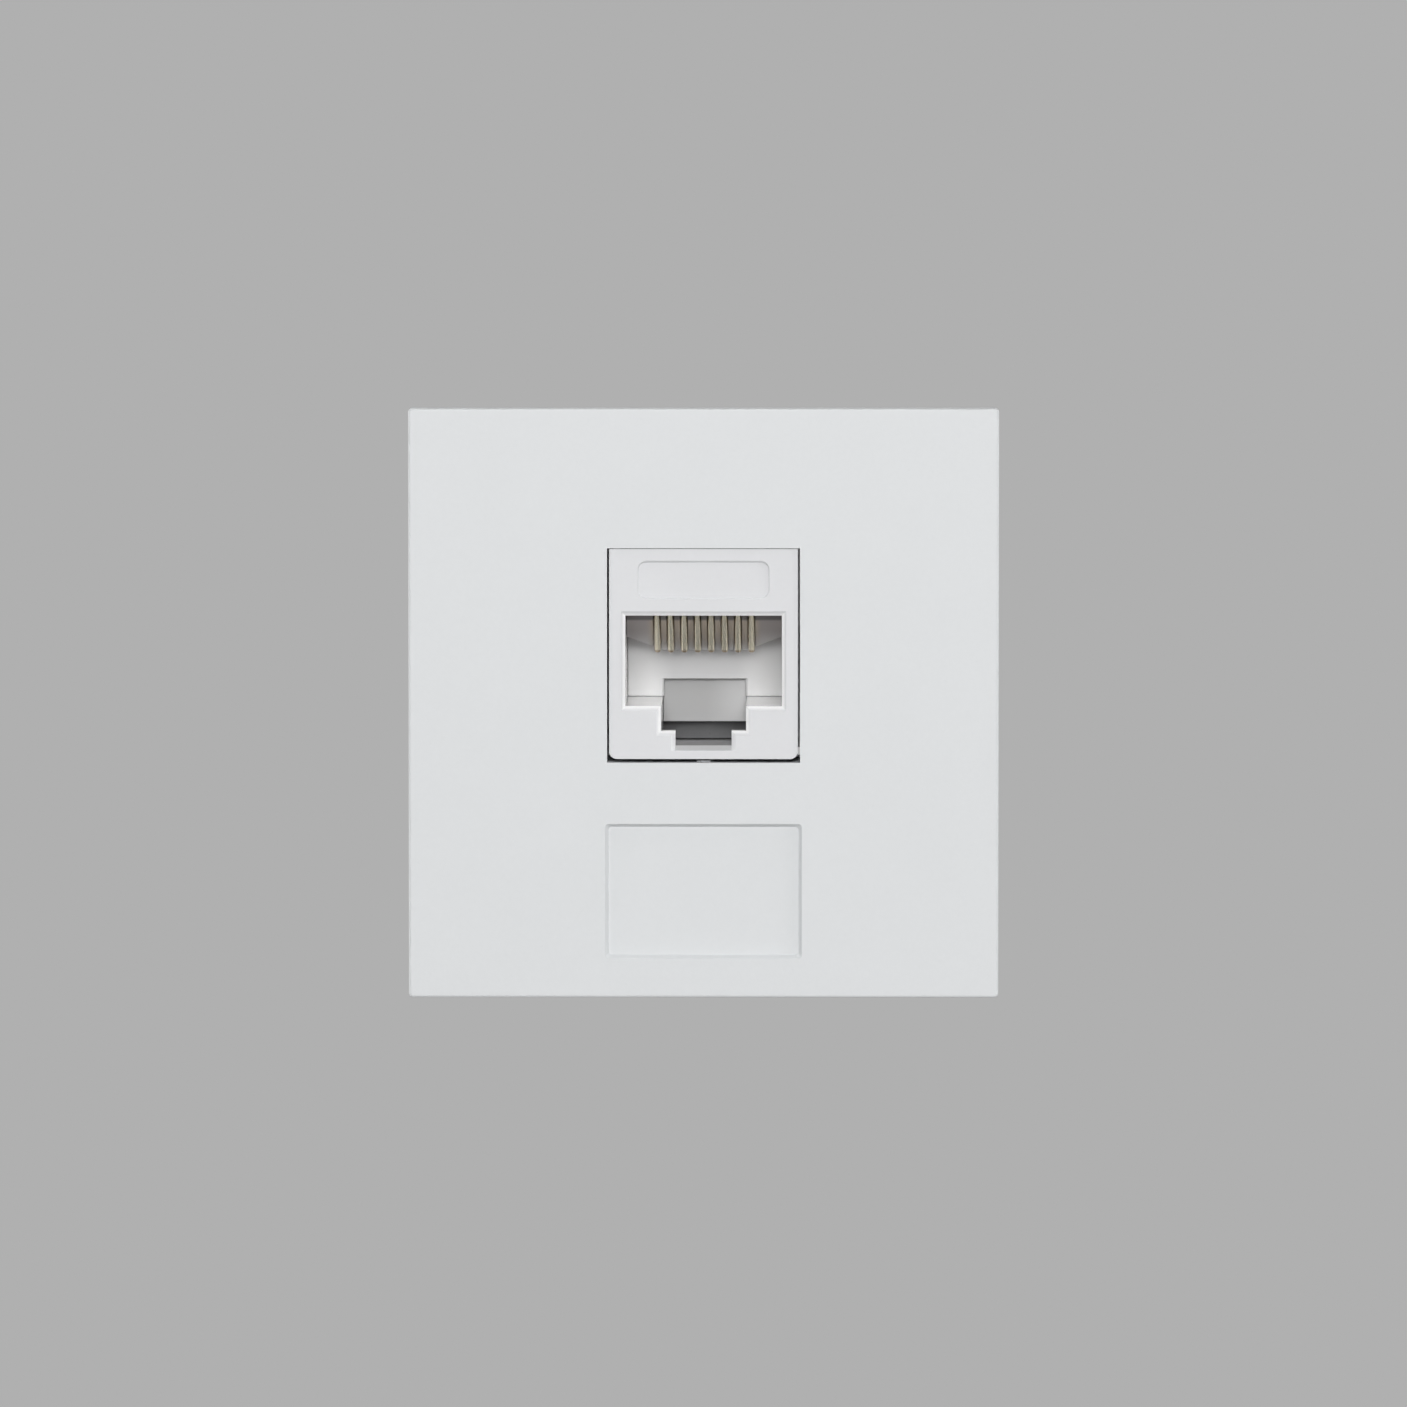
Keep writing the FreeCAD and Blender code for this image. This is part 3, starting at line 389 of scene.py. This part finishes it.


# %% [markdown]
# ## White plastics
# Plate and jack are nearly the same cool white. The hollow of the port is painted a brighter white
# than the face as painted light, and soft steps along the three axes mark out the hollow. The jack is
# smoother too: the floor of its port mirrors the wall behind at a flat angle. The wire caps at the
# back are a little warmer.

# %% Dress the white pieces
# Painted light: the hollow of the port is painted brighter than the face.
PORT_PAINTED_LIGHT = (0.965, 0.965, 0.97)
PORT_LIGHT_ZONE = (
    ("Y", -1.98 * MM, -1.75 * MM),
    ("Z", -2.5 * MM, -2.1 * MM),
    ("Z", 7.7 * MM, 7.3 * MM),
    ("X", -6.9 * MM, -6.5 * MM),
    ("X", 6.9 * MM, 6.5 * MM),
)


def along_axis(tree, axis, start, end):
    """Nought to one between two places on one axis of the piece."""
    spot = put(tree, "ShaderNodeSeparateXYZ", {0: put(tree, "ShaderNodeTexCoord").outputs["Object"]})
    return soft_step(tree, spot.outputs[axis], start, end)


def within(tree, limits):
    """One inside every limit, each a soft step along one axis, and nought outside."""
    mask = 1.0
    for axis, start, end in limits:
        mask = reckon(tree, "MULTIPLY", along_axis(tree, axis, start, end), mask)
    return mask


def painted_port_light(tree, face):
    """The tone of the outer face, and a brighter white painted into the hollow of the port as painted light.
    """
    return mix_tones(tree, within(tree, PORT_LIGHT_ZONE), face, PORT_PAINTED_LIGHT)


plate_white = plastic(
    "plate_white",
    (0.705, 0.72, 0.73),
    (0.755, 0.77, 0.78),
    rough=0.52,
    grain_scale=2600.0,
    depth_um=5.0,
)
jack_white = plastic(
    "jack_white",
    (0.74, 0.745, 0.76),
    (0.79, 0.795, 0.81),
    rough=0.12,
    grain_scale=3200.0,
    depth_um=0.3,
    gloss=0.5,
    shade=painted_port_light,
)
cap_white = plastic(
    "cap_white",
    (0.83, 0.83, 0.81),
    (0.89, 0.89, 0.875),
    rough=0.42,
    grain_scale=3000.0,
    depth_um=4.0,
)
dress(plate_white, ["module_plate"])
dress(jack_white, ["jack_housing"])
dress(cap_white, ["upper_wire_cap", "lower_wire_cap"])

# %% [markdown]
# ## Contact carrier
# The carrier is white on the wall that stops the plug, with painted shade a little darker in the
# middle under the comb and wires. Its comb is painted a warm grey as painted shade, warmer still with a
# painted gold reflection behind the wires, and darkest at its root with a painted shadow. The sunk
# panel under it is grey too, and painted light makes it paler to the right. All of it follows the
# piece's own axes, so the same soft steps give it.

# %% Dress the carrier
# Painted shade: the middle of the wall, under the comb and wires, is painted darker.
WALL_PAINTED_SHADE = (0.82, 0.82, 0.825)
PANEL_GREY = (0.52, 0.52, 0.52)
# Painted light: the right side of the sunk panel is painted paler.
PANEL_PAINTED_LIGHT = (0.68, 0.68, 0.68)
# Painted shade: the comb's underside is painted a warm grey.
COMB_PAINTED_SHADE = (0.395, 0.355, 0.34)
# Painted reflection and shade: the comb behind the gold wires is painted a golden brown.
COMB_PAINTED_GOLD_REFLECTION = (0.50, 0.42, 0.33)
# Painted shadow: the top of the comb under the jack's roof is painted nearly black.
COMB_ROOT_PAINTED_SHADOW = (0.12, 0.105, 0.10)
WALL_SHADE_ZONE = (("X", -4.4 * MM, -2.2 * MM), ("X", 4.4 * MM, 2.2 * MM))
PANEL = (("Y", 10.8 * MM, 11.2 * MM),)
PANEL_LIT_SIDE = (*PANEL, ("X", -0.2 * MM, 3.2 * MM))
COMB_SHADE_ZONE = (("Z", 2.9 * MM, 5.4 * MM),)
WIRE_REFLECTION_ZONE = (("X", -4.5 * MM, -3.9 * MM), ("X", 4.5 * MM, 3.9 * MM), *COMB_SHADE_ZONE)
ROOT_SHADOW_ZONE = (("Z", 5.98 * MM, 6.2 * MM),)


def comb_and_panel(tree, colour):
    """The carrier's grey panel and its painted shade, shadow, reflection and light, laid over its white one
    place after another.
    """
    coats = (
        (WALL_SHADE_ZONE, WALL_PAINTED_SHADE),
        (PANEL, PANEL_GREY),
        (PANEL_LIT_SIDE, PANEL_PAINTED_LIGHT),
        (COMB_SHADE_ZONE, COMB_PAINTED_SHADE),
        (WIRE_REFLECTION_ZONE, COMB_PAINTED_GOLD_REFLECTION),
        (ROOT_SHADOW_ZONE, COMB_ROOT_PAINTED_SHADOW),
    )
    for limits, tone in coats:
        colour = mix_tones(tree, within(tree, limits), colour, tone)
    return colour


carrier_white = plastic(
    "carrier_white",
    (0.93, 0.93, 0.93),
    (0.97, 0.97, 0.97),
    rough=0.45,
    grain_scale=3000.0,
    depth_um=2.0,
    shade=comb_and_panel,
)
dress(carrier_white, ["contact_carrier"])

# %% [markdown]
# ## Dark plastics
# The wiring block at the back is charcoal, and the board between is coated in a dark grey mask.

# %% Dress the dark pieces
block_charcoal = plastic(
    "block_charcoal",
    (0.035, 0.035, 0.038),
    (0.07, 0.07, 0.075),
    rough=0.50,
    grain_scale=2400.0,
    depth_um=8.0,
)
board_mask = plastic(
    "board_mask",
    (0.08, 0.08, 0.083),
    (0.12, 0.12, 0.125),
    rough=0.35,
    grain_scale=1500.0,
    depth_um=4.0,
)
dress(block_charcoal, ["wiring_block"])
dress(board_mask, ["circuit_board"])

# %% [markdown]
# ## Drawn metal
# The contact wires are pale gold, with painted shade and painted reflection browning their flanks
# and tips. The forked terminals are dull tin. Both show fine drawing lines, so they share a group of
# stretched noise.

# %% Build the drawn metal group
drawn, drawn_in, drawn_out = new_group(
    "drawn_lines", {"Line Scale": 9000.0, "Stain Scale": 700.0}, ["Line", "Stain"]
)
place = put(drawn, "ShaderNodeTexCoord").outputs["Object"]
stretch = put(drawn, "ShaderNodeMapping", {"Vector": place, "Scale": (1.0, 0.04, 0.04)})
lines = put(drawn, "ShaderNodeTexNoise", {
    "Vector": stretch.outputs[0],
    "Scale": drawn_in.outputs["Line Scale"],
    "Detail": 2.0,
})
stains = put(drawn, "ShaderNodeTexNoise", {
    "Vector": place,
    "Scale": drawn_in.outputs["Stain Scale"],
    "Detail": 3.0,
})
drawn.links.new(lines.outputs["Fac"], drawn_out.inputs["Line"])
drawn.links.new(stains.outputs["Fac"], drawn_out.inputs["Stain"])
print("group", drawn.name, "with", len(drawn.nodes), "nodes")

# %% Mix a metal from the lines
LINE_SPREAD = 0.08


def metal(name, dark, light, rough, depth_um, shade=None):
    """Drawn metal between two close tones; shade may change the colour over the piece."""
    material, tree = blank_material(name)
    surface = put(tree, "ShaderNodeGroup", node_tree=drawn)
    colour = mix_tones(tree, surface.outputs["Stain"], dark, light)
    if shade:
        colour = shade(tree, colour)
    roughness = put(tree, "ShaderNodeMapRange", {
        "Value": surface.outputs["Line"],
        "To Min": rough - LINE_SPREAD,
        "To Max": rough + LINE_SPREAD,
    })
    bump = put(tree, "ShaderNodeBump", {
        "Height": surface.outputs["Line"],
        "Strength": 1.0,
        "Distance": depth_um * UM,
    })
    shader = put(tree, "ShaderNodeBsdfPrincipled", {
        "Base Color": colour,
        "Metallic": 1.0,
        "Roughness": roughness.outputs[0],
        "Normal": bump.outputs[0],
    })
    put(tree, "ShaderNodeOutputMaterial", {"Surface": shader.outputs[0]})
    print("metal", name)
    return material


# %% Dress the metal pieces
CONTACTS = 8
WIRE_SIZE = 0.50 * MM
WIRE_PITCH = 1.035 * MM
FLANK_START = 0.17 * MM
FLANK_END = 0.25 * MM
# Painted shade and reflection: the wires' flanks and tips are browned in their colour.
FLANK_PAINTED_SHADE = (0.58, 0.47, 0.33)
TIP_START = 0.26 * MM
TIP_END = 0.10 * MM
wire_low, wire_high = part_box("contact_wire_1")


def painted_flank_shade(tree, gold):
    """Painted shade and reflection: browner at the tip of each wire in the row and away from its middle
    line.
    """
    spot = put(tree, "ShaderNodeSeparateXYZ", {0: put(tree, "ShaderNodeTexCoord").outputs["Object"]})
    from_gap = reckon(tree, "ADD", spot.outputs["X"], WIRE_PITCH / 2.0)
    off_line = reckon(tree, "PINGPONG", from_gap, WIRE_PITCH / 2.0)
    flank_shade = soft_step(tree, off_line, FLANK_START, FLANK_END)
    tip = along_axis(tree, "Z", wire_low.z + TIP_START, wire_low.z + TIP_END)
    return mix_tones(tree, reckon(tree, "MAXIMUM", flank_shade, tip), gold, FLANK_PAINTED_SHADE)


contact_gold = metal(
    "contact_gold",
    (0.97, 0.89, 0.69),
    (1.0, 0.95, 0.77),
    rough=0.26,
    depth_um=0.5,
    shade=painted_flank_shade,
)
terminal_tin = metal("terminal_tin", (0.58, 0.58, 0.56), (0.76, 0.76, 0.74), rough=0.36, depth_um=1.5)
dress(terminal_tin, TERMINALS)

# %% [markdown]
# ## Growing a piece from a tree
# What repeats by a rule is grown by Geometry Nodes: the rule stays readable, and one number changes
# all of it. The tree is hung on an empty mesh, its inputs are set, and the result is copied to a
# plain mesh, because a finished piece should carry no modifier that still has to run.

# %% Grow one piece
CREASE_ANGLE = math.radians(40.0)


def new_recipe(name, inputs):
    """A geometry tree whose inputs are named sizes, each with its kind of socket."""
    tree = bpy.data.node_groups.new(name, "GeometryNodeTree")
    tree.interface.new_socket(name="Geometry", in_out="OUTPUT", socket_type="NodeSocketGeometry")
    for label, kind in inputs.items():
        tree.interface.new_socket(name=label, in_out="INPUT", socket_type=f"NodeSocket{kind}")
    return tree, tree.nodes.new("NodeGroupInput").outputs, tree.nodes.new("NodeGroupOutput")


def finish_recipe(tree, ending, instances, material):
    """Every recipe ends in real mesh with its material set."""
    real = put(tree, "GeometryNodeRealizeInstances", {0: instances})
    painted = put(tree, "GeometryNodeSetMaterial", {0: real.outputs[0], "Material": material})
    tree.links.new(painted.outputs[0], ending.inputs[0])


def grow(name, tree, sizes, body):
    """A plain mesh grown by a recipe, on its body and in its material slot."""
    piece = bpy.data.objects.new(name, bpy.data.meshes.new(f"{name}_start"))
    scene.collection.objects.link(piece)
    recipe = piece.modifiers.new("recipe", "NODES")
    recipe.node_group = tree
    for item in tree.interface.items_tree:
        if item.in_out == "INPUT":
            recipe[item.identifier] = sizes[item.name]
    graph = bpy.context.evaluated_depsgraph_get()
    mesh = bpy.data.meshes.new_from_object(piece.evaluated_get(graph), depsgraph=graph)
    piece.modifiers.remove(recipe)
    mesh.name = name
    piece.data = mesh
    shell = bmesh.new()
    shell.from_mesh(mesh)
    bmesh.ops.recalc_face_normals(shell, faces=shell.faces)
    shell.to_mesh(mesh)
    shell.free()
    mesh.shade_smooth()
    mesh.set_sharp_from_angle(angle=CREASE_ANGLE)
    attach(piece, body)
    print(name, len(mesh.polygons), "faces on", body)
    return piece


# %% [markdown]
# ## Contact springs
# Eight gold wires run forward under the roof of the jack, turn round the nose of the comb and hang
# back into the port. Each is one path, so the tree draws three points, rounds the turn, sweeps a
# rounded square along it and repeats it at the contact pitch. The CAD wires have eight flat sides;
# these have round edges and blunt round tips, on the same path.

# %% Build the spring recipe
STOPS = ("Tail", "Turn", "Tip")
BEND_STEPS = 16
EDGE_STEPS = 4
springs, sizes, ending = new_recipe("spring_row", {
    "Tail": "Vector",
    "Turn": "Vector",
    "Tip": "Vector",
    "Bend": "Float",
    "Wire": "Float",
    "Edge": "Float",
    "Pitch": "Vector",
    "First": "Vector",
})
points = put(springs, "GeometryNodeMeshLine", {"Count": len(STOPS)})
bent = put(springs, "GeometryNodeMeshToCurve", {0: points.outputs[0]})
stops = put(springs, "GeometryNodeIndexSwitch", data_type="VECTOR")
stops.index_switch_items.new()
springs.links.new(put(springs, "GeometryNodeInputIndex").outputs[0], stops.inputs["Index"])
for position, label in enumerate(STOPS, start=1):
    springs.links.new(sizes[label], stops.inputs[position])
route = put(springs, "GeometryNodeSetPosition", {0: bent.outputs[0], "Position": stops.outputs[0]})
turned = put(
    springs,
    "GeometryNodeFilletCurve",
    {0: route.outputs[0], "Count": BEND_STEPS, "Radius": sizes["Bend"]},
    mode="POLY",
)
square = put(springs, "GeometryNodeCurvePrimitiveQuadrilateral", {
    "Width": sizes["Wire"],
    "Height": sizes["Wire"],
})
section = put(
    springs,
    "GeometryNodeFilletCurve",
    {0: square.outputs[0], "Count": EDGE_STEPS, "Radius": sizes["Edge"]},
    mode="POLY",
)
wire = put(springs, "GeometryNodeCurveToMesh", {
    0: turned.outputs[0],
    1: section.outputs[0],
    "Fill Caps": True,
})
row = put(springs, "GeometryNodeMeshLine", {
    "Count": CONTACTS,
    "Start Location": sizes["First"],
    "Offset": sizes["Pitch"],
})
spread = put(springs, "GeometryNodeInstanceOnPoints", {
    "Points": row.outputs[0],
    "Instance": wire.outputs[0],
})
finish_recipe(springs, ending, spread.outputs[0], contact_gold)
print("first wire in mm:", in_mm((wire_low, wire_high)))

# %% [markdown]
# ## Path of a spring
# The tail and the tip of a wire are known, and so is the round nose that it turns about. The straight
# run to the tip has to touch that nose, so its slope is that of a tangent from the tip to a circle.
# Working it out from the CAD wire's box keeps the spring on the wire's path.

# %% Grow the contact springs
BEND = 0.55 * MM
WIRE_EDGE = 0.19 * MM
TAIL_TO_TIP = 6.7 * MM
TIP_DROP = 4.25 * MM
TIP_ROUND = 0.13 * MM
run_height = wire_high.z - WIRE_SIZE / 2.0
bend_depth = wire_low.y + WIRE_SIZE / 2.0 + BEND
tail = Vector((0.0, wire_high.y, run_height))
tip = Vector((0.0, wire_high.y - TAIL_TO_TIP, run_height - TIP_DROP))
middle = Vector((0.0, bend_depth, run_height - BEND))
reach = tip - middle
slope = math.atan2(reach.z, reach.y) + math.asin(BEND / reach.length)
touch = middle + Vector((0.0, math.sin(slope), -math.cos(slope))) * BEND
turn = Vector((0.0, touch.y + (run_height - touch.z) / math.tan(slope), run_height))
contact_springs = grow("contact_springs", springs, {
    "Tail": tail,
    "Turn": turn,
    "Tip": tip,
    "Bend": BEND,
    "Wire": WIRE_SIZE,
    "Edge": WIRE_EDGE,
    "Pitch": Vector((WIRE_PITCH, 0.0, 0.0)),
    "First": Vector(((wire_low.x + wire_high.x) / 2.0, 0.0, 0.0)),
}, "module")
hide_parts(*[f"contact_wire_{number}" for number in range(1, CONTACTS + 1)])
blunt = contact_springs.modifiers.new("blunt", "BEVEL")
blunt.width = TIP_ROUND
blunt.segments = 3
blunt.limit_method = "ANGLE"
blunt.angle_limit = math.radians(50.0)
print("spring slope", round(math.degrees(slope), 1), "degrees")

# %% [markdown]
# ## Finger ridges
# A thumb presses the jack's latch down to free it and pulls the wire caps off, so both have low ridges
# for grip. One recipe makes a row of bars that sink into the surface and thin out at their ends, and it
# serves the latch once and each cap at both ends.

# %% Build the ridge recipe
BAR_STEPS = 17
BAR_SIDES = 14
END_SPEED = 8.0
END_THINNING = 0.7
ridges, sizes, ending = new_recipe("ridge_rows", {
    "First": "Vector",
    "Step": "Vector",
    "Count": "Int",
    "Row Step": "Vector",
    "Rows": "Int",
    "Half Length": "Vector",
    "Radius": "Float",
    "Finish": "Material",
})
start = put(ridges, "ShaderNodeVectorMath", {0: sizes["Half Length"], "Scale": -1.0}, operation="SCALE")
stem = put(ridges, "GeometryNodeCurvePrimitiveLine", {
    "Start": start.outputs[0],
    "End": sizes["Half Length"],
})
steps = put(ridges, "GeometryNodeResampleCurve", {0: stem.outputs[0], "Count": BAR_STEPS})
along = put(ridges, "GeometryNodeSplineParameter").outputs["Factor"]
from_middle = reckon(ridges, "MULTIPLY", reckon(ridges, "SUBTRACT", along, 0.5), 2.0)
off_middle = reckon(ridges, "ABSOLUTE", from_middle)
thinning = reckon(ridges, "MULTIPLY", reckon(ridges, "POWER", off_middle, END_SPEED), END_THINNING)
tapered = put(ridges, "GeometryNodeSetCurveRadius", {
    0: steps.outputs[0],
    "Radius": reckon(ridges, "SUBTRACT", 1.0, thinning),
})
ring = put(ridges, "GeometryNodeCurvePrimitiveCircle", {"Resolution": BAR_SIDES, "Radius": sizes["Radius"]})
bar = put(ridges, "GeometryNodeCurveToMesh", {0: tapered.outputs[0], 1: ring.outputs[0], "Fill Caps": True})
bars = put(ridges, "GeometryNodeMeshLine", {
    "Count": sizes["Count"],
    "Start Location": sizes["First"],
    "Offset": sizes["Step"],
})
one_row = put(ridges, "GeometryNodeInstanceOnPoints", {
    "Points": bars.outputs[0],
    "Instance": bar.outputs[0],
})
ends = put(ridges, "GeometryNodeMeshLine", {"Count": sizes["Rows"], "Offset": sizes["Row Step"]})
all_rows = put(ridges, "GeometryNodeInstanceOnPoints", {
    "Points": ends.outputs[0],
    "Instance": one_row.outputs[0],
})
finish_recipe(ridges, ending, all_rows.outputs[0], sizes["Finish"])
print("recipe", ridges.name, "with", len(ridges.nodes), "nodes")

# %% Grow the ridges on the latch tab
RIDGE_RADIUS = 0.22 * MM
RIDGE_SINK = 0.05 * MM
TAB_END = 11.0 * MM
TAB_BELOW_TOP = 2.0 * MM
TAB_GRIP = 2.5 * MM
jack_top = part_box("jack_housing")[1].z
tab_top = jack_top - TAB_BELOW_TOP
grow("latch_ridges", ridges, {
    "First": Vector((0.0, TAB_END - TAB_GRIP, tab_top - RIDGE_SINK)),
    "Step": Vector((0.0, 0.65 * MM, 0.0)),
    "Count": 4,
    "Row Step": Vector((0.0, 0.0, 0.0)),
    "Rows": 1,
    "Half Length": Vector((3.9 * MM, 0.0, 0.0)),
    "Radius": RIDGE_RADIUS,
    "Finish": jack_white,
}, "module")

# %% Grow the ridges on the caps
CAP_GRIP = 3.3 * MM
for body in ("upper_cap", "lower_cap"):
    cap_low, cap_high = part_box(body.replace("cap", "wire_cap"))
    cap_middle = (cap_low.z + cap_high.z) / 2.0
    grow(f"{body}_ridges", ridges, {
        "First": Vector((cap_low.x + RIDGE_SINK, cap_high.y - CAP_GRIP, cap_middle)),
        "Step": Vector((0.0, 0.7 * MM, 0.0)),
        "Count": 4,
        "Row Step": Vector((cap_high.x - cap_low.x - 2.0 * RIDGE_SINK, 0.0, 0.0)),
        "Rows": 2,
        "Half Length": Vector((0.0, 0.0, 1.9 * MM)),
        "Radius": RIDGE_RADIUS,
        "Finish": cap_white,
    }, body)

# %% [markdown]
# ## Ejector marks
# Pins push the plate out of its mould and leave shallow dished rings on the rear of the panel. A
# recipe lifts a disc, chamfers its rim and sinks its middle, then repeats it on a grid of points.

# %% Build the mark recipe
MARK_SIDES = 40
RIM_SCALE = 0.95
DISH_SCALE = 0.90
MARK_COLUMNS = 2
MARK_ROWS = 3
marks, sizes, ending = new_recipe("mark_grid", {
    "Radius": "Float",
    "Rise": "Vector",
    "Sink": "Vector",
    "Width": "Float",
    "Height": "Float",
    "Middle": "Vector",
})
disc = put(marks, "GeometryNodeMeshCircle", {
    "Vertices": MARK_SIDES,
    "Radius": sizes["Radius"],
}, fill_type="NGON")
lifted = put(marks, "GeometryNodeExtrudeMesh", {
    0: disc.outputs[0],
    "Offset": sizes["Rise"],
    "Offset Scale": 1.0,
})
rimmed = put(marks, "GeometryNodeScaleElements", {
    0: lifted.outputs["Mesh"],
    "Selection": lifted.outputs["Top"],
    "Scale": RIM_SCALE,
})
sunk = put(marks, "GeometryNodeExtrudeMesh", {
    0: rimmed.outputs[0],
    "Selection": lifted.outputs["Top"],
    "Offset": sizes["Sink"],
    "Offset Scale": 1.0,
})
dished = put(marks, "GeometryNodeScaleElements", {
    0: sunk.outputs["Mesh"],
    "Selection": sunk.outputs["Top"],
    "Scale": DISH_SCALE,
})
grid = put(marks, "GeometryNodeMeshGrid", {
    "Size X": sizes["Width"],
    "Size Y": sizes["Height"],
    "Vertices X": MARK_COLUMNS,
    "Vertices Y": MARK_ROWS,
})
scattered = put(marks, "GeometryNodeInstanceOnPoints", {
    "Points": grid.outputs[0],
    "Instance": dished.outputs[0],
})
stood = put(marks, "GeometryNodeTransform", {
    0: scattered.outputs[0],
    "Rotation": (-math.pi / 2.0, 0.0, 0.0),
    "Translation": sizes["Middle"],
})
finish_recipe(marks, ending, stood.outputs[0], plate_white)
print("recipe", marks.name, "with", len(marks.nodes), "nodes")

# %% Grow the ejector marks
PANEL_BACK = -0.3 * MM
MARK_ROOT = 0.02 * MM
grow("ejector_marks", marks, {
    "Radius": 1.3 * MM,
    "Rise": Vector((0.0, 0.0, 0.10 * MM)),
    "Sink": Vector((0.0, 0.0, -0.06 * MM)),
    "Width": 30.0 * MM,
    "Height": 28.0 * MM,
    "Middle": Vector((0.0, PANEL_BACK - MARK_ROOT, 0.0)),
}, "module")

# %% Finish
bpy.context.view_layer.update()
